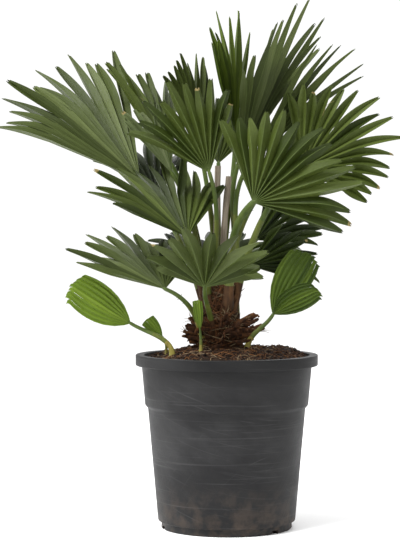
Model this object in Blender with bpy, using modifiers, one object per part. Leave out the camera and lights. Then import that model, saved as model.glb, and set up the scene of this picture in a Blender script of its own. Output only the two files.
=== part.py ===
"""A dwarf fan palm in its nursery pot: pot, compost, trunk, stalks and pleated fans.

Metres, +Z up, the front towards -Y. The origin is the middle of the pot's flat underside.
"""

import math
import random
from dataclasses import dataclass

import bmesh
import bpy
from mathutils import Vector
from mathutils.bvhtree import BVHTree

MM = 0.001

# Room that two solids keep where they would touch
GAP = 0.3 * MM

# The pot
POT_HEIGHT = 228 * MM
RIM_RADIUS = 120 * MM
LIP_HEIGHT = 14 * MM
LIP_ROUND = 1.5 * MM
BAND_TOP_RADIUS = 112 * MM
BAND_FOOT_RADIUS = 107.5 * MM
BAND_FOOT_HEIGHT = 162 * MM
BODY_TOP_RADIUS = 103.8 * MM
BODY_TOP_HEIGHT = 158 * MM
BODY_FOOT_RADIUS = 90.5 * MM
FOOT_RADIUS = 86 * MM
FOOT_HEIGHT = 10 * MM
WALL = 3 * MM
FLOOR = 6 * MM
POT_SIDES = 48

# The drainage notches in the foot
NOTCH_HEADINGS = (316, 196, 76)
NOTCH_SIZE = (24 * MM, 11 * MM, 9 * MM)

# The compost
SEAT_HEIGHT = 236 * MM
SEAT_RADIUS = 40 * MM
COMPOST_EDGE_DROP = 15 * MM
COMPOST_RINGS = (104, 88, 70, 52, 36, 18)
COMPOST_SIDES = 32
HEAP = (82 * MM, 26 * MM)
HEAP_RADIUS = 26 * MM
HEAP_HEIGHT = 7 * MM

# The trunk and the stubs of its old leaves
TRUNK_X = -9 * MM
TRUNK_PROFILE = ((13, 316), (14.5, 308), (15, 288), (16, 272), (20, 254), (27, 236.3))
TRUNK_SIDES = 16
STUBS = 44
STUB_TURN = 137.5
STUB_HEIGHTS = (241 * MM, 284 * MM)
STUB_LENGTHS = (54 * MM, 22 * MM)
STUB_LIFTS = (10, 58)
STUB_RADIUS = 3.6 * MM
STUB_TAPER = 0.35
STUB_SIDES = 5
STUB_FOOT_DEPTH = 10 * MM
STUB_LENGTH_SPREAD = (0.8, 1.15)
STUB_TURN_SPREAD = 12
STUB_LIFT_SPREAD = 10

# The stalks
STALK_SIDES = 1
STALK_POINTS = 8
STALK_PULL = 0.36
STALK_TAPER = 0.62
STALK_LEAN_OUT = 0.25
STALK_SEAT = 0.2 * MM

# The fans
BLADE_SHARE = 0.011
BLADE_LEAST = 1.5 * MM
GATHERED_ROWS = (0.3, 0.65, 1.0)
CUP = 0.1
FOLD_SHARE = 0.35
HALF_WAY_WIDTH = 0.95
BROADEST = 1.1
TIP_WIDTH = 0.36
TIP_NOTCH = 0.1
LENGTH_SPREAD = 0.12
BEND_SPREAD = 7
TURNS_TRIED = (0, 7, -7, 14, -14, 22, -22, 30, -30)
TRIMS_TRIED = (1, 0.85, 0.7, 0.55)
SLAB_SPREAD = 1.15
SEED = 11


@dataclass
class Frond:
    """One fan on its stalk. Lengths are in millimetres, headings in degrees.

    aim is the heading of the longest leaflet, anticlockwise from +X as the front shows it.
    lean tips that heading towards the front. roll turns the fan about it, and where it is
    positive the left edge comes forward. left and right are how far the fan opens from it,
    and their shares are the length of the last leaflet there. upper is -1 where the fan
    shows the front its lower side.
    """

    name: str
    hub: tuple
    aim: float
    lean: float
    roll: float
    left: float
    right: float
    leaflets: int
    reach: float
    left_share: float = 0.85
    right_share: float = 0.85
    fused: float = 0.55
    upper: int = 1
    droop: float = 0.05
    blunt: float = 1.0
    pleat: float = 0.65
    gather: float = 0.0
    foot: tuple = ("trunk", 0, 300)
    stalk: float = 3.6
    material: str = "leaf_green"


# The fans, front ones first. A foot on the trunk has a heading and a height, one on its top or in
# the compost has a place.
FRONDS = (
    Frond("lower_centre", (-29, -70, 319), 86, 46, 0, 82, 84, 11, 118, 0.54, 0.54,
          upper=-1, foot=("trunk", 243, 262), stalk=3.2),
    Frond("lower_left", (-80, -55, 316), 158, 0, 64, 16, 105, 13, 136, 0.95, 0.7,
          foot=("trunk", 215, 246), stalk=3.2),
    Frond("front_right", (33, -60, 427), 42, 22, 4, 72, 66, 14, 146, 0.74, 0.86,
          upper=-1, foot=("trunk", 298, 294), stalk=5.2),
    Frond("left_middle", (-51, -60, 383), 145, 0, 56, 22, 92, 14, 147, 0.7, 0.85,
          foot=("trunk", 226, 290), stalk=3.6),
    Frond("right", (98, -18, 472), 40, 0, -14, 62, 72, 16, 143, 0.74, 0.6,
          foot=("trunk", 334, 286), stalk=3.8, droop=0.08),
    Frond("centre", (-23, -38, 466), 108, 16, 6, 44, 40, 10, 134, 0.85, 0.74,
          upper=-1, foot=("top", -7, -7), stalk=3.2, blunt=1.8),
    Frond("upper_left", (-114, 0, 458), 147, 0, 52, 18, 57, 13, 223, 0.94, 1.05,
          fused=0.58, foot=("trunk", 186, 298), stalk=4.0),
    Frond("upper_left_front", (-72, -8, 466), 122, 6, 40, 16, 36, 7, 104, 0.9, 0.95,
          foot=("trunk", 160, 306), stalk=3.2, blunt=1.8),
    Frond("top_right", (20, 22, 490), 66, 0, 66, 44, 26, 11, 231, 0.62, 0.96,
          upper=-1, fused=0.44, foot=("trunk", 24, 308), stalk=3.4),
    Frond("top_right_low", (33, 12, 482), 51, -6, 58, 20, 18, 7, 212, 0.86, 1.0,
          upper=-1, fused=0.42, foot=("trunk", 352, 300), stalk=3.4),
    Frond("upper_left_back", (-73, 45, 479), 118, -8, 66, 14, 46, 9, 166, 0.98, 1.08,
          foot=("trunk", 140, 300), stalk=3.6, blunt=1.8),
    Frond("top_centre", (12, 43, 519), 89, -4, 62, 42, 14, 9, 172, 0.86, 1.0,
          fused=0.45, foot=("top", 4, 8), stalk=3.4),
    Frond("centre_back", (-34, 38, 495), 101, -4, 58, 30, 28, 9, 142, 0.95, 1.0,
          foot=("top", -6, 8), stalk=3.4),
    Frond("lower_right", (31, 22, 344), 14, -6, -24, 46, 36, 8, 95, 0.7, 0.8,
          foot=("trunk", 12, 264), stalk=3.0),
    Frond("right_back", (41, 58, 378), 30, -36, -24, 38, 40, 8, 110, 0.85, 0.85,
          foot=("trunk", 44, 284), stalk=3.0),
    Frond("back_left", (-95, 96, 440), 118, -52, 30, 34, 44, 10, 150, 0.85, 0.85,
          foot=("trunk", 160, 280), stalk=3.6),
    Frond("back_right", (62, 106, 455), 40, -44, -24, 40, 40, 10, 160, 0.85, 0.85,
          foot=("trunk", 64, 302), stalk=3.6),
    Frond("back_top", (-10, 88, 482), 88, -40, 10, 38, 38, 9, 150, 0.85, 0.85,
          foot=("trunk", 92, 300), stalk=3.6),
    Frond("back_low_left", (-46, 84, 356), 170, -46, 50, 40, 40, 10, 112, 0.85, 0.85,
          foot=("trunk", 132, 264), stalk=3.2),
    Frond("back_low_right", (50, 94, 366), 6, -56, -30, 42, 42, 9, 116, 0.85, 0.85,
          foot=("trunk", 74, 266), stalk=3.2),
    Frond("back_low_centre", (-12, 100, 340), 88, -66, 0, 60, 60, 10, 130, 0.8, 0.8,
          foot=("trunk", 102, 258), stalk=3.2),
    Frond("young_left", (-125, -40, 271), 146, 10, 25, 54, 48, 6, 96, 0.94, 0.93, gather=0.78, fused=0.91,
          blunt=2.6, pleat=0.2, foot=("compost", -71, -44), stalk=2.8, material="young_leaf"),
    Frond("young_right_back", (60, -20, 281), 60, -4, -20, 48, 46, 5, 98, 0.95, 0.93, gather=0.76, fused=0.91,
          blunt=2.6, pleat=0.2, foot=("compost", 27, -20), stalk=3.0, material="young_leaf"),
    Frond("young_right_front", (60.6, -22.1, 281.6), 28, 24, 10, 62, 34, 4, 76, 0.94, 0.92, gather=0.85,
          fused=0.91, blunt=2.6, pleat=0.2, foot=("none", 0, 0), material="young_leaf"),
    Frond("seedling_left", (-84, -30, 253), 132, 0, 10, 30, 30, 3, 32, 0.9, 0.9, fused=0.8,
          blunt=2.6, pleat=0.2, foot=("compost", -79, -28), stalk=1.6, material="young_leaf"),
    Frond("seedling_trunk", (-35, -46, 262), 96, 0, 20, 14, 14, 2, 42, 0.9, 0.9, fused=0.8,
          blunt=2.6, pleat=0.2, foot=("compost", -34, -47), stalk=1.8, material="young_leaf"),
)

# Dead leaf stalks, cut off above the trunk: foot on the trunk's top, then where each ends
DEAD_STALKS = {
    "dead_stalk_left": ((-5, 2), (-11.5, 0, 476)),
    "dead_stalk_right": ((3, -3), (3, 4, 462)),
}
DEAD_STALK_RADIUS = 3 * MM


def clear_scene():
    for obj in list(bpy.data.objects):
        bpy.data.objects.remove(obj)


def new_collection(name, hidden=False):
    collection = bpy.data.collections.new(name)
    collection.hide_render = hidden
    bpy.context.scene.collection.children.link(collection)
    return collection


def new_material(name, colour, roughness, metallic=0.0):
    material = bpy.data.materials.new(name)
    material.use_nodes = True
    shader = material.node_tree.nodes["Principled BSDF"]
    shader.inputs["Base Color"].default_value = (*colour, 1)
    shader.inputs["Roughness"].default_value = roughness
    shader.inputs["Metallic"].default_value = metallic
    return material


def new_materials():
    colours = {
        "pot_plastic": ((0.055, 0.058, 0.062), 0.55),
        "compost": ((0.06, 0.03, 0.02), 0.95),
        "trunk_fibre": ((0.16, 0.07, 0.03), 0.9),
        "dead_stalk": ((0.32, 0.27, 0.2), 0.85),
        "stalk_green": ((0.13, 0.19, 0.05), 0.5),
        "leaf_green": ((0.06, 0.12, 0.035), 0.5),
        "young_leaf": ((0.12, 0.28, 0.03), 0.45),
    }
    return {name: new_material(name, *look) for name, look in colours.items()}


def add_object(name, data, collection, material=None):
    obj = bpy.data.objects.new(name, data)
    collection.objects.link(obj)
    if material:
        data.materials.append(material)
    return obj


def mesh_of(vertices, edges=(), faces=()):
    mesh = bpy.data.meshes.new("shape")
    mesh.from_pydata(vertices, edges, faces)
    return mesh


def applied(obj):
    """The object with its modifiers worked into a mesh of its own."""
    bpy.context.view_layer.update()
    graph = bpy.context.evaluated_depsgraph_get()
    mesh = bpy.data.meshes.new_from_object(obj.evaluated_get(graph))
    obj.modifiers.clear()
    obj.data = mesh
    return obj


def turned(name, profile, sides, collection, material):
    """A profile of (radius, height) points, turned about the Z axis."""
    points = [(radius, 0, height) for radius, height in profile]
    edges = [(k, k + 1) for k in range(len(points) - 1)]
    obj = add_object(name, mesh_of(points, edges), collection, material)
    screw = obj.modifiers.new("turn", "SCREW")
    screw.steps = screw.render_steps = sides
    screw.use_merge_vertices = True
    screw.merge_threshold = 0.00001
    return obj


def lerp(ends, share):
    return ends[0] + (ends[1] - ends[0]) * share


def heading(degrees):
    turn = math.radians(degrees)
    return Vector((math.cos(turn), math.sin(turn), 0))


def triangles_of(obj):
    """The object's evaluated corners and faces, in world space."""
    graph = bpy.context.evaluated_depsgraph_get()
    evaluated = obj.evaluated_get(graph)
    mesh = evaluated.to_mesh()
    mesh.calc_loop_triangles()
    corners = [obj.matrix_world @ vertex.co for vertex in mesh.vertices]
    faces = [tuple(triangle.vertices) for triangle in mesh.loop_triangles]
    evaluated.to_mesh_clear()
    return corners, faces


class Obstacles:
    """The solids made so far, for asking whether a new piece would touch them."""

    def __init__(self):
        self.corners = []
        self.faces = []
        self.tree = None

    def add(self, obj):
        corners, faces = triangles_of(obj)
        first = len(self.corners)
        self.corners.extend(corners)
        self.faces.extend(tuple(first + k for k in face) for face in faces)
        self.tree = BVHTree.FromPolygons(self.corners, self.faces)

    def touched_by(self, corners, faces):
        return bool(self.tree.overlap(BVHTree.FromPolygons(corners, faces)))


def pot_profile():
    """Down the outside from the rim, after the inside from the floor's middle up to the rim."""
    rim_inside = BAND_TOP_RADIUS - WALL
    band_inside = BAND_FOOT_RADIUS - WALL
    body_inside = BODY_TOP_RADIUS - WALL
    lip_foot = POT_HEIGHT - LIP_HEIGHT
    return (
        (0, FLOOR),
        (FOOT_RADIUS - WALL, FLOOR),
        (FOOT_RADIUS - WALL, FOOT_HEIGHT + WALL),
        (BODY_FOOT_RADIUS - WALL, FOOT_HEIGHT + WALL),
        (body_inside, BODY_TOP_HEIGHT),
        (band_inside, BAND_FOOT_HEIGHT),
        (rim_inside, POT_HEIGHT - LIP_ROUND),
        (rim_inside + LIP_ROUND, POT_HEIGHT),
        (RIM_RADIUS - LIP_ROUND, POT_HEIGHT),
        (RIM_RADIUS, POT_HEIGHT - LIP_ROUND),
        (RIM_RADIUS, lip_foot),
        (BAND_TOP_RADIUS, lip_foot),
        (BAND_FOOT_RADIUS, BAND_FOOT_HEIGHT),
        (BODY_TOP_RADIUS, BODY_TOP_HEIGHT),
        (BODY_FOOT_RADIUS, FOOT_HEIGHT),
        (FOOT_RADIUS, FOOT_HEIGHT),
        (FOOT_RADIUS, 0),
        (0, 0),
    )


def build_pot(palm, cutters, materials):
    pot = turned("pot", pot_profile(), POT_SIDES, palm, materials["pot_plastic"])
    for number, turn in enumerate(NOTCH_HEADINGS):
        shape = bmesh.new()
        bmesh.ops.create_cube(shape, size=1)
        bmesh.ops.scale(shape, vec=NOTCH_SIZE, verts=shape.verts)
        mesh = bpy.data.meshes.new("notch")
        shape.to_mesh(mesh)
        shape.free()
        cutter = add_object(f"notch_{number + 1}", mesh, cutters)
        cutter.location = heading(turn) * FOOT_RADIUS
        cutter.rotation_euler.z = math.radians(turn)
        cutter.hide_render = True
        cutter.display_type = "WIRE"
        cut = pot.modifiers.new(f"notch_{number + 1}", "BOOLEAN")
        cut.object = cutter
        cut.solver = "EXACT"
    return pot


def compost_height(x, y):
    """The compost's surface: level round the trunk, lower at the rim, heaped at the right."""
    share = max(0, math.hypot(x, y) - SEAT_RADIUS) / (BAND_TOP_RADIUS - SEAT_RADIUS)
    heap = math.exp(-(((x - HEAP[0]) ** 2 + (y - HEAP[1]) ** 2) / HEAP_RADIUS**2))
    return SEAT_HEIGHT - COMPOST_EDGE_DROP * share**1.5 + HEAP_HEIGHT * heap


def build_compost(palm, materials):
    side_gap = WALL + 3 * GAP
    top = POT_HEIGHT - 2 * LIP_ROUND
    profile = [(0, SEAT_HEIGHT)]
    profile += [(ring * MM, SEAT_HEIGHT) for ring in reversed(COMPOST_RINGS)]
    profile += [
        (BAND_TOP_RADIUS - side_gap, top),
        (BAND_FOOT_RADIUS - side_gap, BAND_FOOT_HEIGHT),
        (BODY_TOP_RADIUS - side_gap, BODY_TOP_HEIGHT),
        (BODY_FOOT_RADIUS - side_gap, FOOT_HEIGHT + WALL + GAP),
        (FOOT_RADIUS - side_gap, FOOT_HEIGHT + WALL + GAP),
        (FOOT_RADIUS - side_gap, FLOOR + GAP),
        (0, FLOOR + GAP),
    ]
    compost = applied(turned("compost", profile, COMPOST_SIDES, palm, materials["compost"]))
    for vertex in compost.data.vertices:
        if vertex.co.z >= top - GAP:
            vertex.co.z = compost_height(vertex.co.x, vertex.co.y)
    return compost


def build_trunk(palm, materials, obstacles):
    """A tapering trunk whose old leaf stubs are fused on where they clear the stalks."""
    profile = [(0, TRUNK_PROFILE[0][1] * MM)]
    profile += [(radius * MM, height * MM) for radius, height in TRUNK_PROFILE]
    profile += [(0, TRUNK_PROFILE[-1][1] * MM)]
    trunk = turned("trunk", profile, TRUNK_SIDES, palm, materials["trunk_fibre"])
    trunk.location.x = TRUNK_X
    stubs = new_collection("stubs", hidden=True)
    chance = random.Random(SEED)
    for number in range(STUBS):
        share = number / (STUBS - 1)
        shape = stub_mesh(lerp(STUB_LENGTHS, share) * chance.uniform(*STUB_LENGTH_SPREAD))
        outward = heading(number * STUB_TURN + chance.uniform(-STUB_TURN_SPREAD, STUB_TURN_SPREAD))
        lift = math.radians(lerp(STUB_LIFTS, share) + chance.uniform(-STUB_LIFT_SPREAD, STUB_LIFT_SPREAD))
        along = outward * math.cos(lift) + Vector((0, 0, math.sin(lift)))
        turn = along.to_track_quat("Z", "Y").to_matrix()
        foot = Vector((TRUNK_X, 0, lerp(STUB_HEIGHTS, share))) + outward * STUB_FOOT_DEPTH
        corners = [turn @ vertex.co + foot for vertex in shape.vertices]
        faces = [tuple(face.vertices) for face in shape.polygons]
        if obstacles.touched_by(corners, faces):
            continue
        for vertex, corner in zip(shape.vertices, corners):
            vertex.co = corner
        add_object(f"stub_{number + 1}", shape, stubs)
    return fused(trunk, stubs)


def stub_mesh(length):
    shape = bmesh.new()
    bmesh.ops.create_cone(
        shape, cap_ends=True, segments=STUB_SIDES,
        radius1=STUB_RADIUS, radius2=STUB_RADIUS * STUB_TAPER, depth=length,
    )
    bmesh.ops.translate(shape, vec=(0, 0, length / 2), verts=shape.verts)
    mesh = bpy.data.meshes.new("stub")
    shape.to_mesh(mesh)
    shape.free()
    return mesh


def fused(body, pieces):
    union = body.modifiers.new("fuse", "BOOLEAN")
    union.operation = "UNION"
    union.operand_type = "COLLECTION"
    union.collection = pieces
    union.solver = "EXACT"
    applied(body)
    for obj in list(pieces.objects):
        bpy.data.objects.remove(obj)
    bpy.data.collections.remove(pieces)
    return body


def tube(name, path, radii, palm, material):
    """A stalk: a curve with a bevel that tapers, and closed ends."""
    curve = bpy.data.curves.new(name, "CURVE")
    curve.dimensions = "3D"
    curve.bevel_depth = radii[0]
    curve.bevel_resolution = STALK_SIDES
    curve.use_fill_caps = True
    spline = curve.splines.new("POLY")
    spline.points.add(len(path) - 1)
    for number, (point, place) in enumerate(zip(spline.points, path)):
        point.co = (*place, 1)
        point.radius = lerp((1, radii[1] / radii[0]), number / (len(path) - 1))
    return add_object(name, curve, palm, material)


def bezier(ends, pulls, share):
    left = 1 - share
    return (
        ends[0] * left**3
        + pulls[0] * 3 * left**2 * share
        + pulls[1] * 3 * left * share**2
        + ends[1] * share**3
    )


def fan_axes(frond):
    """The fan's heading, the side on its left, and the way its face looks."""
    aim, lean, roll = (math.radians(turn) for turn in (frond.aim, frond.lean, frond.roll))
    along = Vector((math.cos(aim) * math.cos(lean), -math.sin(lean), math.sin(aim) * math.cos(lean)))
    flat_side = Vector((-math.sin(aim), 0, math.cos(aim)))
    flat_face = along.cross(flat_side)
    side = flat_side * math.cos(roll) + flat_face * math.sin(roll)
    return along, side, along.cross(side)


def trunk_radius(height):
    """The trunk's radius at a height, between the points of its profile."""
    for (upper, top), (lower, low) in zip(TRUNK_PROFILE, TRUNK_PROFILE[1:]):
        if low * MM <= height <= top * MM:
            return lerp((lower * MM, upper * MM), (height - low * MM) / ((top - low) * MM))
    return TRUNK_PROFILE[0][0] * MM


def stalk_foot(frond, compost_tree):
    """Where the stalk starts, and the way it sets off."""
    kind, first, second = frond.foot
    radius = frond.stalk * MM
    if kind == "trunk":
        height = second * MM
        outward = heading(first)
        start = Vector((TRUNK_X, 0, height)) + outward * (trunk_radius(height) + radius + STALK_SEAT)
        return start, (Vector((0, 0, 1)) + outward * STALK_LEAN_OUT).normalized()
    if kind == "top":
        start = Vector((TRUNK_X + first * MM, second * MM, TRUNK_PROFILE[0][1] * MM + 2 * GAP))
        return start, Vector((0, 0, 1))
    above = Vector((first * MM, second * MM, POT_HEIGHT * 2))
    start = compost_tree.ray_cast(above, Vector((0, 0, -1)))[0] + Vector((0, 0, 2 * GAP))
    return start, Vector((0, 0, 1))


def build_stalk(frond, palm, materials, compost_tree):
    along = fan_axes(frond)[0]
    start, set_off = stalk_foot(frond, compost_tree)
    radius = frond.stalk * MM
    widest = max(frond.left, frond.right) - 90
    back = GAP + radius * STALK_TAPER * math.tan(math.radians(max(0, widest))) + GAP
    end = Vector(frond.hub) * MM - along * back
    pull = (end - start).length * STALK_PULL
    pulls = (start + set_off * pull, end - along * pull)
    path = [bezier((start, end), pulls, k / (STALK_POINTS - 1)) for k in range(STALK_POINTS)]
    radii = (radius, radius * STALK_TAPER)
    return tube(f"stalk_{frond.name}", path, radii, palm, materials["stalk_green"])


def build_dead_stalks(palm, materials):
    stalks = []
    for name, (foot, top) in DEAD_STALKS.items():
        start = Vector((TRUNK_X + foot[0] * MM, foot[1] * MM, TRUNK_PROFILE[0][1] * MM + GAP))
        end = Vector(top) * MM
        bend = Vector((start.x, start.y, lerp((start.z, end.z), 0.5)))
        path = [start, bend, end]
        stalks.append(tube(name, path, (DEAD_STALK_RADIUS, DEAD_STALK_RADIUS), palm, materials["dead_stalk"]))
    return stalks


@dataclass
class Leaflet:
    """One leaflet of a fan: its angle in the fan, its length, and how far it bends off the fan."""

    angle: float
    length: float
    bend: float


class Fan:
    """The rule that every fan follows: leaflets fused from the hub out, then free and cleft."""

    def __init__(self, frond):
        self.frond = frond
        self.hub = Vector(frond.hub) * MM
        self.along, self.side, face = fan_axes(frond)
        self.upper = face * frond.upper
        self.step = math.radians(frond.left + frond.right) / frond.leaflets
        self.reach = frond.reach * MM
        self.fused = self.reach * frond.fused * min(1, 0.5 + (frond.left_share + frond.right_share) / 4)
        self.thickness = max(BLADE_LEAST, self.reach * BLADE_SHARE)
        chance = random.Random(f"{SEED} {frond.name}")
        self.leaflets = [self.leaflet(k, chance) for k in range(frond.leaflets)]

    def leaflet(self, number, chance):
        angle = -math.radians(self.frond.right) + (number + 0.5) * self.step
        side = self.frond.left if angle > 0 else self.frond.right
        share = self.frond.left_share if angle > 0 else self.frond.right_share
        part = min(1, abs(math.degrees(angle)) / max(side, 1))
        spread = LENGTH_SPREAD * (1 - self.frond.gather)
        length = self.reach * (1 + (share - 1) * part**2) * chance.uniform(1 - spread, 1 + spread / 2)
        return Leaflet(angle, length, chance.uniform(-BEND_SPREAD, BEND_SPREAD) * (1 - self.frond.gather))

    def turned(self, radius, angle):
        """The heading at a radius: young leaflets set off wide, then gather side by side."""
        return angle * (1 - self.frond.gather * radius / self.reach)

    def place(self, radius, angle, aside=0.0, lift=0.0):
        """A point of the fan: out along a heading, then aside of it and off its face."""
        turned = self.turned(radius, angle)
        along = self.along * math.cos(turned) + self.side * math.sin(turned)
        across = self.side * math.cos(turned) - self.along * math.sin(turned)
        dish = CUP * radius * turned**2
        return self.hub + along * radius + across * aside + self.upper * (lift + dish)

    def half_width(self, radius):
        return radius * math.sin(self.turned(radius, self.step) / 2)

    def edge(self, number, share=1.0):
        """A point on the ridge between two leaflets, at a share of the way to where they part."""
        radius = self.fused * share
        angle = -math.radians(self.frond.right) + number * self.step
        return self.place(radius, angle, lift=self.frond.pleat * self.half_width(radius))

    def rib(self, leaflet, share=1.0):
        radius = self.fused * share
        return self.place(radius, leaflet.angle, lift=-self.frond.pleat * self.half_width(radius))

    def free_point(self, leaflet, share, aside, lift):
        """A point of the free part, by its share of the way from the parting to the tip."""
        out = (leaflet.length - self.fused) * share
        bend = math.radians(leaflet.bend)
        point = self.place(
            self.fused + out * math.cos(bend), leaflet.angle, aside, lift + out * math.sin(bend)
        )
        point.z -= self.frond.droop * leaflet.length * share**2
        return point

    def free_rows(self, leaflet):
        """Rows of right edge, rib and left edge, half way out and at the cleft tip."""
        middle_room, tip_room = (
            min(self.half_width(radius) for radius in (self.fused, out))
            for out in ((self.fused + leaflet.length) / 2, leaflet.length)
        )
        middle = middle_room * HALF_WAY_WIDTH * min(BROADEST, 0.85 + 0.15 * self.frond.blunt)
        tip = tip_room * TIP_WIDTH * self.frond.blunt
        fold = -FOLD_SHARE * middle
        notch = 1 - TIP_NOTCH
        return [
            [
                self.free_point(leaflet, 0.5, -middle, -fold / 2),
                self.free_point(leaflet, 0.5, 0, fold),
                self.free_point(leaflet, 0.5, middle, -fold / 2),
            ],
            [
                self.free_point(leaflet, 1, -tip, 0),
                self.free_point(leaflet, notch, 0, fold / 2),
                self.free_point(leaflet, 1, tip, 0),
            ],
        ]

    def rows(self, number, leaflet):
        return [[self.edge(number), self.rib(leaflet), self.edge(number + 1)]] + self.free_rows(leaflet)

    def slab(self, rows):
        """A closed slab round rows of three points, a little thicker and wider than the blade."""
        half = self.upper * (self.thickness / 2 + 2 * GAP)
        flat = []
        for right, rib, left in rows:
            flat += [rib + (right - rib) * SLAB_SPREAD, rib, rib + (left - rib) * SLAB_SPREAD]
        corners = [point + half for point in flat] + [point - half for point in flat]
        under = len(flat)
        faces = []
        for row in range(len(rows) - 1):
            for column in (0, 1):
                a = 3 * row + column
                faces.append((a, a + 1, a + 4, a + 3))
                faces.append((under + a, under + a + 3, under + a + 4, under + a + 1))
            for a in (3 * row, 3 * row + 2):
                faces.append((a, a + 3, under + a + 3, under + a))
        last = 3 * (len(rows) - 1)
        for a in (last, last + 1, 0, 1):
            faces.append((a, a + 1, under + a + 1, under + a))
        return corners, faces

    def settle(self, obstacles):
        """Bends, then trims, each leaflet that would touch what stands there, or leaves it out."""
        for number, leaflet in enumerate(self.leaflets):
            self.leaflets[number] = self.settled(number, leaflet, obstacles)

    def settled(self, number, leaflet, obstacles):
        for trim in TRIMS_TRIED:
            for turn in TURNS_TRIED:
                length = self.fused + (leaflet.length - self.fused) * trim
                tried = Leaflet(leaflet.angle, length, leaflet.bend + turn)
                if not obstacles.touched_by(*self.slab(self.rows(number, tried))):
                    return tried
        return Leaflet(leaflet.angle, 0, 0)

    def mesh(self):
        """The open sheet down the middle of the fan."""
        shares = GATHERED_ROWS if self.frond.gather else (1.0,)
        corners = [self.hub]
        ridges = []
        for number in range(len(self.leaflets) + 1):
            ridges.append([len(corners) + k for k in range(len(shares))])
            corners += [self.edge(number, share) for share in shares]
        faces = []
        for number, leaflet in enumerate(self.leaflets):
            ribs = [len(corners) + k for k in range(len(shares))]
            corners += [self.rib(leaflet, share) for share in shares]
            rows = list(zip(ridges[number], ribs, ridges[number + 1]))
            faces += [(0, rows[0][0], rows[0][1]), (0, rows[0][1], rows[0][2])]
            if leaflet.length:
                for points in self.free_rows(leaflet):
                    first = len(corners)
                    corners += points
                    rows.append((first, first + 1, first + 2))
            for row, after in zip(rows, rows[1:]):
                faces += [(row[0], after[0], after[1], row[1]), (row[1], after[1], after[2], row[2])]
        return mesh_of(corners, faces=faces)


def build_blade(frond, palm, materials, obstacles):
    fan = Fan(frond)
    fan.settle(obstacles)
    blade = add_object(f"blade_{frond.name}", fan.mesh(), palm, materials[frond.material])
    sheet = blade.modifiers.new("thickness", "SOLIDIFY")
    sheet.thickness = fan.thickness
    sheet.offset = 0
    return blade


def main():
    clear_scene()
    palm = new_collection("potted_fan_palm")
    cutters = new_collection("cutters", hidden=True)
    materials = new_materials()
    build_pot(palm, cutters, materials)
    compost = build_compost(palm, materials)
    compost_tree = BVHTree.FromPolygons(*triangles_of(compost))
    obstacles = Obstacles()
    obstacles.add(compost)
    stalked = [frond for frond in FRONDS if frond.foot[0] != "none"]
    stalks = [build_stalk(frond, palm, materials, compost_tree) for frond in stalked]
    stalks += build_dead_stalks(palm, materials)
    bpy.context.view_layer.update()
    for stalk in stalks:
        obstacles.add(stalk)
    obstacles.add(build_trunk(palm, materials, obstacles))
    for frond in FRONDS:
        blade = build_blade(frond, palm, materials, obstacles)
        bpy.context.view_layer.update()
        obstacles.add(blade)


main()
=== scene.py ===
# %% [markdown]
# # Dressing a potted fan palm
#
# The lesson starts from plain solids of a young fan palm in its nursery pot. Each solid keeps its
# place, and a finer piece takes over its looks: a moulded pot, crumbly compost, a fibrous trunk,
# smooth stalks and pleated fans. Loading the solids comes first, because everything is placed by them.

# %% Load the solids
import math
import random
from dataclasses import dataclass

import bmesh
import bpy
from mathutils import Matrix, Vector, noise
from mathutils.bvhtree import BVHTree


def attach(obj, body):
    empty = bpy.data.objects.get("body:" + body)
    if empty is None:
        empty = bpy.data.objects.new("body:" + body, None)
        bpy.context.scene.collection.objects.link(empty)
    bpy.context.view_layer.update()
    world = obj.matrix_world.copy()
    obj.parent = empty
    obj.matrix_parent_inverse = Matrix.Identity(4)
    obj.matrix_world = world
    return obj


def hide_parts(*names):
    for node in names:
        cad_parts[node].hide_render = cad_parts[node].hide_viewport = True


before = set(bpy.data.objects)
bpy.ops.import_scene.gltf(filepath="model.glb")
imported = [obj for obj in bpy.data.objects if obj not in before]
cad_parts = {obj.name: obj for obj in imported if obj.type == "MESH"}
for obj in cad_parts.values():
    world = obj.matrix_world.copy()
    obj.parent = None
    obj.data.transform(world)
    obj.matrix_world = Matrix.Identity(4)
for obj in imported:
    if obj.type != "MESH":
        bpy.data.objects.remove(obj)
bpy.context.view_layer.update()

MM = 0.001
SEED = 11

# %% [markdown]
# ## Gathering a shape before it becomes a mesh
#
# A palm is thousands of small faces that follow a few rules. Adding objects one at a time would be
# slow, so each rule adds its corners and faces to a Shape, and one mesh is made at the end. A Shape
# also keeps a tone for each face, which picks the material, and a place on the leaf for its grain.

# %% A shape, and the piece made from it
class Shape:
    """Corners, faces and the tone of each face, gathered for one mesh."""

    def __init__(self):
        self.corners = []
        self.grain = []
        self.faces = []
        self.tones = []

    def corner(self, place, grain=(0.0, 0.0)):
        self.corners.append(place)
        self.grain.append(grain)
        return len(self.corners) - 1

    def face(self, tone, *corners):
        self.faces.append(corners)
        self.tones.append(tone)

    def mesh(self, name, materials):
        mesh = bpy.data.meshes.new(name)
        mesh.from_pydata(self.corners, [], self.faces)
        for material in materials:
            mesh.materials.append(material)
        mesh.polygons.foreach_set("material_index", self.tones)
        layer = mesh.uv_layers.new(name="grain")
        for loop in mesh.loops:
            layer.data[loop.index].uv = self.grain[loop.vertex_index]
        return mesh


def new_piece(name, mesh, crease=30):
    """An object whose folds sharper than crease degrees stay crisp under smooth shading."""
    mesh.shade_smooth()
    mesh.set_sharp_from_angle(angle=math.radians(crease))
    piece = bpy.data.objects.new(name, mesh)
    bpy.context.scene.collection.objects.link(piece)
    return piece


def applied(piece):
    """The piece with its modifiers worked into its mesh."""
    bpy.context.view_layer.update()
    graph = bpy.context.evaluated_depsgraph_get()
    mesh = bpy.data.meshes.new_from_object(piece.evaluated_get(graph))
    piece.modifiers.clear()
    piece.data = mesh
    return piece


def dress(piece, slot, *nodes):
    """The piece rides on the palm's one body and stands for its solids. slot is not used."""
    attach(piece, "root")
    if nodes:
        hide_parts(*nodes)
    print(piece.name, "has", len(piece.data.polygons), "faces")


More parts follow.
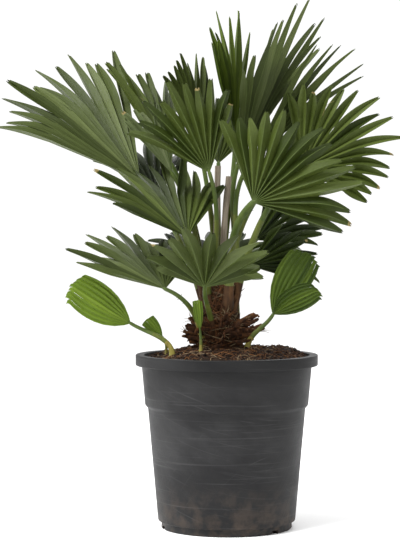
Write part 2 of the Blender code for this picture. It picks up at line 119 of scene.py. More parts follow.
# %% [markdown]
# ## Sweeping a tube along a path
#
# Stalks, ribs, fibres and threads are all a round or flattened section that follows a path and tapers.
# A curve object would do this too, but thousands of them are slow. This sweep keeps its section from
# twisting by carrying the side direction on from one ring to the next.

# %% Sweep
def sweep(shape, path, radii, sides=6, tone=0, flat=1.0):
    """A closed tube along the path. tone is a number, or one for each stretch of the path."""
    side = None
    rings = []
    for number, place in enumerate(path):
        before = path[max(0, number - 1)]
        after = path[min(len(path) - 1, number + 1)]
        ahead = (after - before).normalized()
        if side is None:
            guide = Vector((0, 1, 0)) if abs(ahead.y) < 0.9 else Vector((1, 0, 0))
            side = ahead.cross(guide).normalized()
        else:
            side = (side - ahead * side.dot(ahead)).normalized()
        over = ahead.cross(side)
        ring = []
        for k in range(sides):
            turn = 2 * math.pi * k / sides
            offset = side * math.cos(turn) + over * (math.sin(turn) * flat)
            ring.append(shape.corner(place + offset * radii[number], (k / sides, number * 0.1)))
        rings.append(ring)
    tones = tone if isinstance(tone, list) else [tone] * (len(path) - 1)
    for number, (low, high) in enumerate(zip(rings, rings[1:])):
        for k in range(sides):
            after = (k + 1) % sides
            shape.face(tones[number], low[k], low[after], high[after], high[k])
    shape.face(tones[0], *reversed(rings[0]))
    shape.face(tones[-1], *rings[-1])


def lerp(ends, share):
    return ends[0] + (ends[1] - ends[0]) * share


def heading(degrees):
    turn = math.radians(degrees)
    return Vector((math.cos(turn), math.sin(turn), 0))


def bezier(ends, pulls, share):
    left = 1 - share
    return (
        ends[0] * left**3
        + pulls[0] * 3 * left**2 * share
        + pulls[1] * 3 * left * share**2
        + ends[1] * share**3
    )


# %% [markdown]
# ## One recipe for natural finishes
#
# Leaf, fibre, soil and plastic all have soft patches of two tones, a gloss that varies with them and a
# fine relief. One function wires that up: noise picks between the tones, sets the roughness and lifts
# the surface a little. What differs is the grain, which is how fine the noise is along each direction,
# and whether it follows the object's space or the grain laid on the leaf.

# %% The shared recipe
def noise_on(nodes, links, source, grain, detail=5.0, turn=0.0):
    """Noise over stretched and turned coordinates, as an output that runs from about 0.3 to 0.7."""
    places = nodes.new("ShaderNodeTexCoord")
    stretch = nodes.new("ShaderNodeMapping")
    stretch.vector_type = "TEXTURE"
    stretch.inputs["Scale"].default_value = [1 / size for size in grain]
    stretch.inputs["Rotation"].default_value = (math.radians(turn), math.radians(turn), 0)
    links.new(places.outputs[source], stretch.inputs["Vector"])
    texture = nodes.new("ShaderNodeTexNoise")
    texture.inputs["Scale"].default_value = 1.0
    texture.inputs["Detail"].default_value = detail
    texture.inputs["Roughness"].default_value = 0.6
    links.new(stretch.outputs["Vector"], texture.inputs["Vector"])
    return texture.outputs[0]


def ramp_on(nodes, links, value, low, high, ends=(0.35, 0.65)):
    """Two colours with a soft change between them."""
    ramp = nodes.new("ShaderNodeValToRGB")
    ramp.color_ramp.elements[0].position = ends[0]
    ramp.color_ramp.elements[1].position = ends[1]
    ramp.color_ramp.elements[0].color = (*low, 1)
    ramp.color_ramp.elements[1].color = (*high, 1)
    links.new(value, ramp.inputs["Fac"])
    return ramp.outputs["Color"]


def range_on(nodes, links, value, low, high, ends=(0.3, 0.7)):
    """The value stretched to run from low to high."""
    stretch = nodes.new("ShaderNodeMapRange")
    stretch.inputs["From Min"].default_value = ends[0]
    stretch.inputs["From Max"].default_value = ends[1]
    stretch.inputs["To Min"].default_value = low
    stretch.inputs["To Max"].default_value = high
    links.new(value, stretch.inputs["Value"])
    return stretch.outputs["Result"]


def mix_on(nodes, links, share, first, second):
    """One colour laid over another by a share."""
    mix = nodes.new("ShaderNodeMix")
    mix.data_type = "RGBA"
    links.new(share, mix.inputs[0])
    links.new(first, mix.inputs[6])
    links.new(second, mix.inputs[7])
    return mix.outputs[2]


def natural_finish(name, tones, roughness, grain, relief, source="Object", shine=0.15):
    """Patches of two tones, with gloss and relief that follow them. shine is how much it mirrors."""
    material = bpy.data.materials.new(name)
    material.use_nodes = True
    nodes = material.node_tree.nodes
    links = material.node_tree.links
    shader = nodes["Principled BSDF"]
    patches = noise_on(nodes, links, source, grain)
    links.new(ramp_on(nodes, links, patches, *tones), shader.inputs["Base Color"])
    links.new(range_on(nodes, links, patches, *roughness), shader.inputs["Roughness"])
    shader.inputs["Specular IOR Level"].default_value = shine
    bump = nodes.new("ShaderNodeBump")
    bump.inputs["Strength"].default_value = 0.7
    bump.inputs["Distance"].default_value = relief
    links.new(patches, bump.inputs["Height"])
    links.new(bump.outputs["Normal"], shader.inputs["Normal"])
    return material


def shades(colour, spread=0.25):
    """A darker and a lighter tone of one colour."""
    return tuple(c * (1 - spread) for c in colour), tuple(c * (1 + spread) for c in colour)


# %% [markdown]
# ## The pot
#
# A nursery pot is one moulded shell: a rolled lip, a band that tapers, a step, the body and a foot ring
# with drainage notches. It is a turned shape, so its wall is an outline of radius and height, with
# rounded corners as the mould leaves them. The notches are cut with a Boolean.

# %% The pot's outline
POT_HEIGHT = 228 * MM
RIM_RADIUS = 120 * MM
LIP_HEIGHT = 14 * MM
BAND_TOP_RADIUS = 112 * MM
BAND_FOOT_RADIUS = 107.5 * MM
BAND_FOOT_HEIGHT = 162 * MM
BODY_TOP_RADIUS = 103.8 * MM
BODY_TOP_HEIGHT = 158 * MM
BODY_FOOT_RADIUS = 90.5 * MM
FOOT_RADIUS = 86 * MM
FOOT_HEIGHT = 10 * MM
WALL = 3 * MM
FLOOR = 6 * MM
POT_SIDES = 168
POT_ROUND = 1.4 * MM
NOTCH_HEADINGS = (316, 196, 76)
NOTCH_SIZE = (24 * MM, 11 * MM, 9 * MM)


def pot_outline():
    """Up the inside from the middle of the floor, then down the outside."""
    lip_foot = POT_HEIGHT - LIP_HEIGHT
    return [
        Vector(point)
        for point in (
            (0, FLOOR),
            (FOOT_RADIUS - WALL, FLOOR),
            (FOOT_RADIUS - WALL, FOOT_HEIGHT + WALL),
            (BODY_FOOT_RADIUS - WALL, FOOT_HEIGHT + WALL),
            (BODY_TOP_RADIUS - WALL, BODY_TOP_HEIGHT),
            (BAND_FOOT_RADIUS - WALL, BAND_FOOT_HEIGHT),
            (BAND_TOP_RADIUS - WALL, POT_HEIGHT),
            (RIM_RADIUS, POT_HEIGHT),
            (RIM_RADIUS, lip_foot),
            (BAND_TOP_RADIUS, lip_foot),
            (BAND_FOOT_RADIUS, BAND_FOOT_HEIGHT),
            (BODY_TOP_RADIUS, BODY_TOP_HEIGHT),
            (BODY_FOOT_RADIUS, FOOT_HEIGHT),
            (FOOT_RADIUS, FOOT_HEIGHT),
            (FOOT_RADIUS, 0),
            (0, 0),
        )
    ]


def rounded(outline, size, steps=5):
    """The outline with its inner corners rounded as far as there is room."""
    points = [outline[0]]
    for before, corner, after in zip(outline, outline[1:], outline[2:]):
        room = min(size, (before - corner).length * 0.45, (after - corner).length * 0.45)
        start = corner + (before - corner).normalized() * room
        end = corner + (after - corner).normalized() * room
        for k in range(steps + 1):
            share = k / steps
            points.append(start * (1 - share) ** 2 + corner * 2 * share * (1 - share) + end * share**2)
    points.append(outline[-1])
    return points


def lathe(shape, outline, sides):
    """The outline turned about the upright axis, as a closed body."""
    rings = []
    for radius, height in outline:
        if radius < 0.01 * MM:
            rings.append([shape.corner(Vector((0, 0, height)))])
            continue
        rings.append(
            [
                shape.corner(Vector((0, 0, height)) + heading(360 * k / sides) * radius)
                for k in range(sides)
            ]
        )
    for first, second in zip(rings, rings[1:]):
        for k in range(sides):
            after = (k + 1) % sides
            if len(first) == 1:
                shape.face(0, first[0], second[k], second[after])
            elif len(second) == 1:
                shape.face(0, first[k], second[0], first[after])
            else:
                shape.face(0, first[k], second[k], second[after], first[after])


# %% The pot's finish
SCUFFS = ((0, (6, 6, 420), 0.6), (14, (9, 9, 520), 0.62), (-38, (12, 12, 640), 0.65), (64, (16, 16, 700), 0.68))
# The heights over which painted shade darkens the pot, from the step up to the rim.
RIM_SHADE = (0.16, 0.215)


def pot_finish():
    """Dark matt plastic, scuffed along its girth, with dry compost and dirt near the foot, and painted shade darkening
    it towards the rim.
    """
    material = bpy.data.materials.new("pot_plastic")
    material.use_nodes = True
    nodes = material.node_tree.nodes
    links = material.node_tree.links
    shader = nodes["Principled BSDF"]
    patches = noise_on(nodes, links, "Object", (18, 18, 30))
    grey = ramp_on(nodes, links, patches, (0.009, 0.009, 0.0096), (0.014, 0.014, 0.0143))
    pale = ramp_on(nodes, links, patches, (0.036, 0.036, 0.036), (0.06, 0.06, 0.059))
    haze = ramp_on(nodes, links, patches, (0.026, 0.026, 0.027), (0.034, 0.034, 0.035))
    smudges = noise_on(nodes, links, "Object", (7, 7, 16), detail=6.0, turn=18)
    scuffed = mix_on(nodes, links, range_on(nodes, links, smudges, 0.0, 0.75, ends=(0.46, 0.7)), grey, haze)
    for turn, grain, least in SCUFFS:
        scuffs = noise_on(nodes, links, "Object", grain, detail=3.0, turn=turn)
        scuff_share = range_on(nodes, links, scuffs, 0.0, 0.6, ends=(least, least + 0.14))
        scuffed = mix_on(nodes, links, scuff_share, scuffed, pale)
    places = nodes.new("ShaderNodeTexCoord")
    height = nodes.new("ShaderNodeSeparateXYZ")
    links.new(places.outputs["Object"], height.inputs["Vector"])
    low_down = range_on(nodes, links, height.outputs["Z"], 0.75, 0.0, ends=(0.0, 0.07))
    blotches = noise_on(nodes, links, "Object", (60, 60, 60))
    blotch_share = range_on(nodes, links, blotches, 0.0, 1.0, ends=(0.4, 0.62))
    dirt_share = nodes.new("ShaderNodeMath")
    dirt_share.operation = "MULTIPLY"
    links.new(low_down, dirt_share.inputs[0])
    links.new(blotch_share, dirt_share.inputs[1])
    dirt = ramp_on(nodes, links, patches, (0.038, 0.028, 0.021), (0.07, 0.052, 0.04))
    colour = mix_on(nodes, links, dirt_share.outputs[0], scuffed, dirt)
    # Painted shade: above the step the colour is mixed towards near black, most at the band's top and the lip.
    level = nodes.new("ShaderNodeSeparateXYZ")
    links.new(nodes.new("ShaderNodeTexCoord").outputs["Object"], level.inputs[0])
    near_rim = range_on(nodes, links, level.outputs["Z"], 0.0, 0.65, ends=RIM_SHADE)
    shade = ramp_on(nodes, links, patches, (0.004, 0.004, 0.0042), (0.006, 0.006, 0.0062))
    links.new(mix_on(nodes, links, near_rim, colour, shade), shader.inputs["Base Color"])
    links.new(range_on(nodes, links, patches, 0.42, 0.62), shader.inputs["Roughness"])
    shader.inputs["Specular IOR Level"].default_value = 0.16
    bump = nodes.new("ShaderNodeBump")
    bump.inputs["Strength"].default_value = 0.35
    bump.inputs["Distance"].default_value = 0.0004
    links.new(scuffs, bump.inputs["Height"])
    links.new(bump.outputs["Normal"], shader.inputs["Normal"])
    return material


# %% Turn the pot and cut its notches
def notch_cutter(turn):
    shape = bmesh.new()
    bmesh.ops.create_cube(shape, size=1)
    bmesh.ops.scale(shape, vec=NOTCH_SIZE, verts=shape.verts)
    mesh = bpy.data.meshes.new("notch")
    shape.to_mesh(mesh)
    shape.free()
    cutter = bpy.data.objects.new("notch", mesh)
    cutter.location = heading(turn) * FOOT_RADIUS
    cutter.rotation_euler.z = math.radians(turn)
    bpy.context.scene.collection.objects.link(cutter)
    return cutter


def make_pot():
    shape = Shape()
    lathe(shape, rounded(pot_outline(), POT_ROUND), POT_SIDES)
    pot = new_piece("pot_shell", shape.mesh("pot_shell", [pot_finish()]))
    cutters = [notch_cutter(turn) for turn in NOTCH_HEADINGS]
    for cutter in cutters:
        cut = pot.modifiers.new("notch", "BOOLEAN")
        cut.object = cutter
        cut.solver = "EXACT"
    applied(pot)
    for cutter in cutters:
        bpy.data.objects.remove(cutter)
    dress(pot, "pot_plastic", "pot")


make_pot()

# %% [markdown]
# ## The compost
#
# Potting compost is dark, damp and crumbly, with coir fibres and bits of bark on top. Its bed is a
# disc of small faces lifted by noise, so its edge against the rim is uneven as poured compost is.
# Crumbs and fibres lie on the bed as small bodies, because a bump alone looks flat from low down.

# %% The bed
SEAT_HEIGHT = 236 * MM
SEAT_RADIUS = 40 * MM
COMPOST_EDGE_DROP = 15 * MM
HEAP = (82 * MM, 26 * MM)
HEAP_RADIUS = 26 * MM
HEAP_HEIGHT = 7 * MM
BED_RADIUS = 108.2 * MM
BED_RINGS = 84
BED_SIDES = 260
BED_FOOT = (102 * MM, 166 * MM)
LUMPS = (70, 260)
LUMP_HEIGHTS = (2.2 * MM, 0.9 * MM)


def compost_height(x, y):
    """Level round the trunk, lower at the rim, heaped at the right."""
    share = max(0, math.hypot(x, y) - SEAT_RADIUS) / (BAND_TOP_RADIUS - SEAT_RADIUS)
    heap = math.exp(-(((x - HEAP[0]) ** 2 + (y - HEAP[1]) ** 2) / HEAP_RADIUS**2))
    return SEAT_HEIGHT - COMPOST_EDGE_DROP * share**1.5 + HEAP_HEIGHT * heap


def bed_height(x, y):
    """The compost's height with its lumps."""
    lift = 0
    for fine, height in zip(LUMPS, LUMP_HEIGHTS):
        lift += height * noise.fractal(Vector((x, y, 0.3)) * fine, 0.8, 2.1, 4)
    return compost_height(x, y) + lift


def bed_shape():
    shape = Shape()
    middle = shape.corner(Vector((0, 0, bed_height(0, 0))))
    rings = []
    for number in range(1, BED_RINGS + 1):
        radius = BED_RADIUS * number / BED_RINGS
        ring = []
        for k in range(BED_SIDES):
            place = heading(360 * k / BED_SIDES) * radius
            place.z = bed_height(place.x, place.y)
            ring.append(shape.corner(place))
        rings.append(ring)
    foot_radius, foot_height = BED_FOOT
    rings.append(
        [
            shape.corner(heading(360 * k / BED_SIDES) * foot_radius + Vector((0, 0, foot_height)))
            for k in range(BED_SIDES)
        ]
    )
    for k in range(BED_SIDES):
        shape.face(0, middle, rings[0][k], rings[0][(k + 1) % BED_SIDES])
    for inner, outer in zip(rings, rings[1:]):
        for k in range(BED_SIDES):
            after = (k + 1) % BED_SIDES
            shape.face(0, inner[k], outer[k], outer[after], inner[after])
    shape.face(0, *reversed(rings[-1]))
    return shape


soil = natural_finish("soil", ((0.006, 0.0035, 0.0025), (0.032, 0.018, 0.011)), (0.8, 1.0), (170, 170, 170), 0.0015)
bed = new_piece("compost_bed", bed_shape().mesh("compost_bed", [soil]), crease=60)
dress(bed, "compost", "compost")

# %% Crumbs and coir fibres
CRUMBS = 2400
CRUMB_RADII = (0.8 * MM, 2.6 * MM)
COIR = 420
COIR_LENGTHS = (7 * MM, 26 * MM)
crumb_tones = [
    natural_finish("crumb_dark", shades((0.009, 0.0055, 0.004)), (0.8, 1.0), (300, 300, 300), 0.0006),
    natural_finish("crumb_brown", shades((0.034, 0.018, 0.011)), (0.8, 1.0), (300, 300, 300), 0.0006),
    natural_finish("crumb_bark", shades((0.075, 0.036, 0.017)), (0.7, 0.9), (300, 300, 300), 0.0006),
]
coir_tones = [
    natural_finish("coir_brown", shades((0.05, 0.024, 0.013)), (0.8, 1.0), (200, 200, 200), 0.0003),
    natural_finish("coir_orange", shades((0.14, 0.062, 0.024)), (0.8, 1.0), (200, 200, 200), 0.0003),
    natural_finish("coir_pale", shades((0.17, 0.12, 0.07)), (0.8, 1.0), (200, 200, 200), 0.0003),
]


def lump_form():
    """A twenty-sided lump, as corners and faces, for copying."""
    shape = bmesh.new()
    bmesh.ops.create_icosphere(shape, subdivisions=1, radius=1)
    corners = [vertex.co.copy() for vertex in shape.verts]
    faces = [[vertex.index for vertex in face.verts] for face in shape.faces]
    shape.free()
    return corners, faces


def on_bed(chance, reach):
    """A place on the compost, evenly spread."""
    place = heading(chance.uniform(0, 360)) * (reach * math.sqrt(chance.random()))
    place.z = bed_height(place.x, place.y)
    return place


def add_crumbs(shape, chance):
    corners, faces = lump_form()
    for _ in range(CRUMBS):
        place = on_bed(chance, BED_RADIUS - 3 * MM)
        radius = CRUMB_RADII[0] + (CRUMB_RADII[1] - CRUMB_RADII[0]) * chance.random() ** 2.5
        stretch = Vector((chance.uniform(0.7, 1.4), chance.uniform(0.7, 1.4), chance.uniform(0.5, 1)))
        spin = heading(chance.uniform(0, 360))
        tone = chance.choice((0, 0, 1, 1, 1, 2))
        added = []
        for corner in corners:
            jitter = chance.uniform(0.75, 1.2)
            x, y = corner.x * stretch.x * jitter, corner.y * stretch.y * jitter
            turned = Vector((x * spin.x - y * spin.y, x * spin.y + y * spin.x, corner.z * stretch.z * jitter))
            added.append(shape.corner(place + turned * radius + Vector((0, 0, radius * 0.25))))
        for face in faces:
            shape.face(tone, *(added[k] for k in face))


def add_coir(shape, chance):
    for _ in range(COIR):
        place = on_bed(chance, BED_RADIUS - 12 * MM)
        along = heading(chance.uniform(0, 360))
        aside = Vector((-along.y, along.x, 0))
        length = chance.uniform(*COIR_LENGTHS)
        bow = chance.uniform(-0.35, 0.35) * length
        path = []
        for k in range(6):
            share = k / 5 - 0.5
            point = place + along * (share * length) + aside * (bow * (0.25 - share**2) * 4)
            lift = 0.6 * MM + abs(chance.gauss(0, 0.9 * MM))
            point.z = bed_height(point.x, point.y) + lift
            path.append(point)
        radius = chance.uniform(0.25, 0.55) * MM
        sweep(shape, path, [radius] * 6, sides=4, tone=chance.choice((0, 0, 1, 2)))


crumbs = Shape()
add_crumbs(crumbs, random.Random(f"{SEED} crumbs"))
crumbs_piece = new_piece("compost_crumbs", crumbs.mesh("compost_crumbs", crumb_tones), crease=40)
dress(crumbs_piece, "compost")
coir = Shape()
add_coir(coir, random.Random(f"{SEED} coir"))
dress(new_piece("compost_coir", coir.mesh("compost_coir", coir_tones)), "compost")

# %% [markdown]
# ## The plant's plan
#
# Every leaf is a stalk and a fan. The table names each one's hub, which way it points and how far it
# opens, so that fans can be thought of as hands held out at different angles. Lengths are in
# millimetres and headings in degrees. The same rule then grows every fan, with nothing drawn by hand.

# %% The fans' table
@dataclass
class Frond:
    """One fan on its stalk.

    aim is the heading of the longest leaflet, anticlockwise from +X as the front shows it.
    lean tips that heading towards the front. roll turns the fan about it, and where it is
    positive the left edge comes forward. left and right are how far the fan opens from it,
    and their shares are the length of the last leaflet there. upper is -1 where the fan
    shows the front its lower side. gather brings leaflets that set off wide side by side.
    """

    name: str
    hub: tuple
    aim: float
    lean: float
    roll: float
    left: float
    right: float
    leaflets: int
    reach: float
    left_share: float = 0.85
    right_share: float = 0.85
    fused: float = 0.55
    upper: int = 1
    droop: float = 0.05
    blunt: float = 1.0
    pleat: float = 0.65
    foot: tuple = ("trunk", 0, 300)
    stalk: float = 3.6
    gather: float = 0.0
    look: str = "green"


# Fans whose look is dark lie in the shade of the crown, and their dark green is painted shade.
FRONDS = (
    Frond("lower_centre", (-29, -70, 319), 86, 46, 0, 82, 84, 11, 118, 0.54, 0.54,
          upper=-1, foot=("trunk", 243, 262), stalk=3.2, look="grey"),
    Frond("lower_left", (-80, -55, 316), 158, 0, 64, 16, 105, 13, 136, 0.95, 0.7,
          foot=("trunk", 215, 246), stalk=3.2, look="grey"),
    Frond("front_right", (33, -60, 427), 42, 22, 4, 72, 66, 14, 146, 0.74, 0.86,
          upper=-1, foot=("trunk", 298, 294), stalk=5.2),
    Frond("left_middle", (-51, -60, 383), 145, 0, 56, 22, 92, 14, 147, 0.7, 0.85,
          foot=("trunk", 226, 290), stalk=3.6),
    Frond("right", (98, -18, 472), 40, 0, -14, 62, 72, 16, 143, 0.74, 0.6,
          foot=("trunk", 334, 286), stalk=3.8, droop=0.08),
    Frond("centre", (-23, -38, 466), 108, 16, 6, 44, 40, 10, 134, 0.85, 0.74,
          upper=-1, foot=("top", -7, -7), stalk=3.2, blunt=1.8),
    Frond("upper_left", (-114, 0, 458), 147, 0, 52, 18, 57, 13, 223, 0.94, 1.05,
          fused=0.58, foot=("trunk", 186, 298), stalk=4.0, look="grey"),
    Frond("upper_left_front", (-72, -8, 466), 122, 6, 40, 16, 36, 7, 104, 0.9, 0.95,
          foot=("trunk", 160, 306), stalk=3.2, blunt=1.8, look="bloom"),
    Frond("top_right", (20, 22, 490), 66, 0, 66, 44, 26, 11, 231, 0.62, 0.96,
          upper=-1, fused=0.44, foot=("trunk", 24, 308), stalk=3.4, look="grey"),
    Frond("top_right_low", (33, 12, 482), 51, -6, 58, 20, 18, 7, 212, 0.86, 1.0,
          upper=-1, fused=0.42, foot=("trunk", 352, 300), stalk=3.4),
    Frond("upper_left_back", (-73, 45, 479), 118, -8, 66, 14, 46, 9, 166, 0.98, 1.08,
          foot=("trunk", 140, 300), stalk=3.6, blunt=1.8),
    # This fan's vivid green is painted light shining through its leaves.
    Frond("top_centre", (12, 43, 519), 89, -4, 62, 42, 14, 9, 172, 0.86, 1.0,
          fused=0.45, foot=("top", 4, 8), stalk=3.4, look="fresh"),
    Frond("centre_back", (-34, 38, 495), 101, -4, 58, 30, 28, 9, 142, 0.95, 1.0,
          foot=("top", -6, 8), stalk=3.4),
    Frond("lower_right", (31, 22, 344), 14, -6, -24, 46, 36, 8, 95, 0.7, 0.8,
          foot=("trunk", 12, 264), stalk=3.0, look="dark"),
    Frond("right_back", (41, 58, 378), 30, -36, -24, 38, 40, 8, 110, 0.85, 0.85,
          foot=("trunk", 44, 284), stalk=3.0, look="dark"),
    Frond("back_left", (-95, 96, 440), 118, -52, 30, 34, 44, 10, 150, 0.85, 0.85,
          foot=("trunk", 160, 280), stalk=3.6, look="dark"),
    Frond("back_right", (62, 106, 455), 40, -44, -24, 40, 40, 10, 160, 0.85, 0.85,
          foot=("trunk", 64, 302), stalk=3.6),
    Frond("back_top", (-10, 88, 482), 88, -40, 10, 38, 38, 9, 150, 0.85, 0.85,
          foot=("trunk", 92, 300), stalk=3.6),
    Frond("back_low_left", (-46, 84, 356), 170, -46, 50, 40, 40, 10, 112, 0.85, 0.85,
          foot=("trunk", 132, 264), stalk=3.2, look="dark"),
    Frond("back_low_right", (50, 94, 366), 6, -56, -30, 42, 42, 9, 116, 0.85, 0.85,
          foot=("trunk", 74, 266), stalk=3.2),
    Frond("back_low_centre", (-12, 100, 340), 88, -66, 0, 60, 60, 10, 130, 0.8, 0.8,
          foot=("trunk", 102, 258), stalk=3.2, look="dark"),
    Frond("young_left", (-125, -40, 271), 146, 10, 25, 54, 48, 8, 96, 0.94, 0.93, gather=0.78,
          fused=0.91, blunt=2.6, pleat=0.3, foot=("compost", -71, -44), stalk=2.8, look="young"),
    Frond("young_right_back", (60, -20, 281), 60, -4, -20, 48, 46, 8, 98, 0.95, 0.93, gather=0.76,
          fused=0.91, blunt=2.6, pleat=0.3, foot=("compost", 27, -20), stalk=3.0, look="shoot"),
    Frond("young_right_front", (60.6, -22.1, 281.6), 28, 24, 10, 62, 34, 7, 76, 0.94, 0.92, gather=0.85,
          fused=0.91, blunt=2.6, pleat=0.3, foot=("none", 0, 0), look="shoot"),
    Frond("seedling_left", (-84, -30, 253), 132, 0, 10, 42, 42, 5, 32, 0.95, 0.95, gather=0.6,
          fused=0.91, blunt=2.6, pleat=0.3, foot=("compost", -79, -28), stalk=1.6, look="young"),
    Frond("seedling_trunk", (-35, -46, 262), 96, 0, 20, 26, 26, 4, 42, 0.95, 0.95, gather=0.7,
          fused=0.91, blunt=2.6, pleat=0.3, foot=("compost", -34, -47), stalk=1.8, look="young"),
)
print(len(FRONDS), "fans are planned")


def fan_axes(frond):
    """The fan's heading, the side on its left, and the way its face looks."""
    aim, lean, roll = (math.radians(turn) for turn in (frond.aim, frond.lean, frond.roll))
    along = Vector((math.cos(aim) * math.cos(lean), -math.sin(lean), math.sin(aim) * math.cos(lean)))
    flat_side = Vector((-math.sin(aim), 0, math.cos(aim)))
    flat_face = along.cross(flat_side)
    side = flat_side * math.cos(roll) + flat_face * math.sin(roll)
    return along, side, along.cross(side)


# %% [markdown]
# ## The stalks
#
# A fan palm's stalk is smooth and a little flattened, widens into a sheath where it clasps the trunk,
# and turns from yellow at its foot to green. It leaves the trunk nearly upright and bends over to meet
# its fan, which a Bezier curve does with one pull at each end. A few have short spines at the sides.

# %% The trunk's outline, and where the stalks start
TRUNK_X = -9 * MM
TRUNK_PROFILE = ((13, 316), (14.5, 308), (15, 288), (16, 272), (20, 254), (27, 236.3))
STALK_PULL = 0.36
STALK_TAPER = 0.62
STALK_LEAN_OUT = 0.25
STALK_POINTS = 30
STALK_GAP = 0.6 * MM
SHEATH_WIDENS = 0.3
SHEATH_SHARE = 0.07
SPINE_SHARES = (0.3, 0.85)
STALK_BREADTH = 1.28
STALK_FLAT = 0.78
COLUMN_FOOT = 250


def trunk_radius(height):
    """The trunk's radius at a height, between the points of its profile."""
    for (upper, top), (lower, low) in zip(TRUNK_PROFILE, TRUNK_PROFILE[1:]):
        if low * MM <= height <= top * MM:
            return lerp((lower * MM, upper * MM), (height - low * MM) / ((top - low) * MM))
    return (TRUNK_PROFILE[0] if height > TRUNK_PROFILE[0][1] * MM else TRUNK_PROFILE[-1])[0] * MM


def stalk_foot(frond):
    """Where the stalk starts, the way it sets off, and the place inside the plant that it comes from."""
    kind, first, second = frond.foot
    radius = frond.stalk * MM
    if kind == "trunk":
        height = second * MM
        outward = heading(first)
        start = Vector((TRUNK_X, 0, height)) + outward * (trunk_radius(height) + radius + STALK_GAP)
        inside = Vector((TRUNK_X, 0, height - 12 * MM)) + outward * (trunk_radius(height) * 0.7)
        return start, (Vector((0, 0, 1)) + outward * STALK_LEAN_OUT).normalized(), inside
    if kind == "top":
        start = Vector((TRUNK_X + first * MM, second * MM, TRUNK_PROFILE[0][1] * MM + STALK_GAP))
        return start, Vector((0, 0, 1)), start - Vector((0, 0, 10 * MM))
    start = Vector((first * MM, second * MM, compost_height(first * MM, second * MM) + STALK_GAP))
    return start, Vector((0, 0, 1)), start - Vector((0, 0, 6 * MM))


def stalk_path(frond):
    along = fan_axes(frond)[0]
    start, set_off, inside = stalk_foot(frond)
    end = Vector(frond.hub) * MM
    pull = (end - start).length * STALK_PULL
    pulls = (start + set_off * pull, end - along * pull)
    path = [bezier((start, end), pulls, k / (STALK_POINTS - 1)) for k in range(STALK_POINTS)]
    return [inside] + path + [end + along * 5 * MM]


def stalk_radii(frond):
    """From the sheath's width to the slim end, which runs out on the fan as a small point."""
    radius = frond.stalk * MM
    radii = []
    for k in range(STALK_POINTS):
        share = k / (STALK_POINTS - 1)
        sheath = 1 + SHEATH_WIDENS * math.exp(-share / SHEATH_SHARE)
        radii.append(radius * lerp((1, STALK_TAPER), share) * sheath)
    return [radii[0]] + radii + [0.5 * MM]


def add_spines(shape, path, radii, chance, count):
    """Short spines at both edges, pointing up the stalk."""
    for _ in range(count):
        number = 1 + int(lerp(SPINE_SHARES, chance.random()) * (STALK_POINTS - 2))
        ahead = (path[number + 1] - path[number]).normalized()
        side = ahead.cross(Vector((0, 1, 0))).normalized() * chance.choice((-1, 1))
        foot = path[number] + side * radii[number] * 0.7
        tip = foot + (side + ahead * 0.5).normalized() * chance.uniform(2.5, 5) * MM
        sweep(shape, [foot, tip], [0.7 * MM, 0.08 * MM], sides=4, tone=2)


def stalk_tones(frond, count):
    """Brown or yellow at the foot, olive above it, then green."""
    kind, _, height = frond.foot
    on_column = kind == "top" or kind == "trunk" and height > COLUMN_FOOT
    foot, foot_share = (0, 0.17) if on_column else (1, 0.3)
    return [foot if k < count * foot_share else 2 if k < count * 0.55 else 3 for k in range(count - 1)]


# %% The stalks' finishes, and the stalks
stalk_grain = (160, 160, 14)
stalk_finishes = [
    natural_finish("sheath_brown", ((0.022, 0.011, 0.005), (0.085, 0.042, 0.018)), (0.7, 0.9), stalk_grain, 0.0009),
    natural_finish("stalk_yellow", ((0.13, 0.11, 0.022), (0.21, 0.18, 0.04)), (0.35, 0.5), stalk_grain, 0.0004),
    natural_finish("stalk_olive", ((0.06, 0.078, 0.014), (0.1, 0.115, 0.025)), (0.32, 0.48), stalk_grain, 0.0004),
    natural_finish("stalk_green", ((0.042, 0.066, 0.013), (0.07, 0.098, 0.022)), (0.32, 0.48), stalk_grain, 0.0004),
]


class Obstacles:
    """What stands in the crown so far, for asking whether a new leaflet would touch it."""

    def __init__(self):
        self.corners = []
        self.faces = []
        self.tree = None

    def add(self, corners, faces):
        first = len(self.corners)
        self.corners.extend(corners)
        self.faces.extend(tuple(first + k for k in face) for face in faces)
        self.tree = BVHTree.FromPolygons(self.corners, self.faces)

    def touched_by(self, corners, faces):
        return bool(self.tree.overlap(BVHTree.FromPolygons(corners, faces)))


obstacles = Obstacles()


def make_stalk(frond):
    chance = random.Random(f"{SEED} stalk {frond.name}")
    path = stalk_path(frond)
    radii = stalk_radii(frond)
    shape = Shape()
    broad = [STALK_BREADTH * radius for radius in radii]
    sweep(shape, path, broad, sides=16, tone=stalk_tones(frond, len(path)), flat=STALK_FLAT)
    core = Shape()
    sweep(core, path, radii, sides=12)
    obstacles.add(core.corners[: 12 * (len(path) - 2)], core.faces[: 12 * (len(path) - 4)])
    if not frond.gather:
        add_spines(shape, path, radii, chance, 5)
    mesh = shape.mesh(f"petiole_{frond.name}", stalk_finishes)
    dress(new_piece(f"petiole_{frond.name}", mesh), "stalk_green", f"stalk_{frond.name}")


for frond in FRONDS:
    if frond.foot[0] != "none":
        make_stalk(frond)

# %% [markdown]
# ## Two dead stalks
#
# Two old leaves were cut off, and their stalks stay as dry, grey-beige canes with a slanted cut.
# They are plain sweeps, a little uneven, in a finish with a long grain.

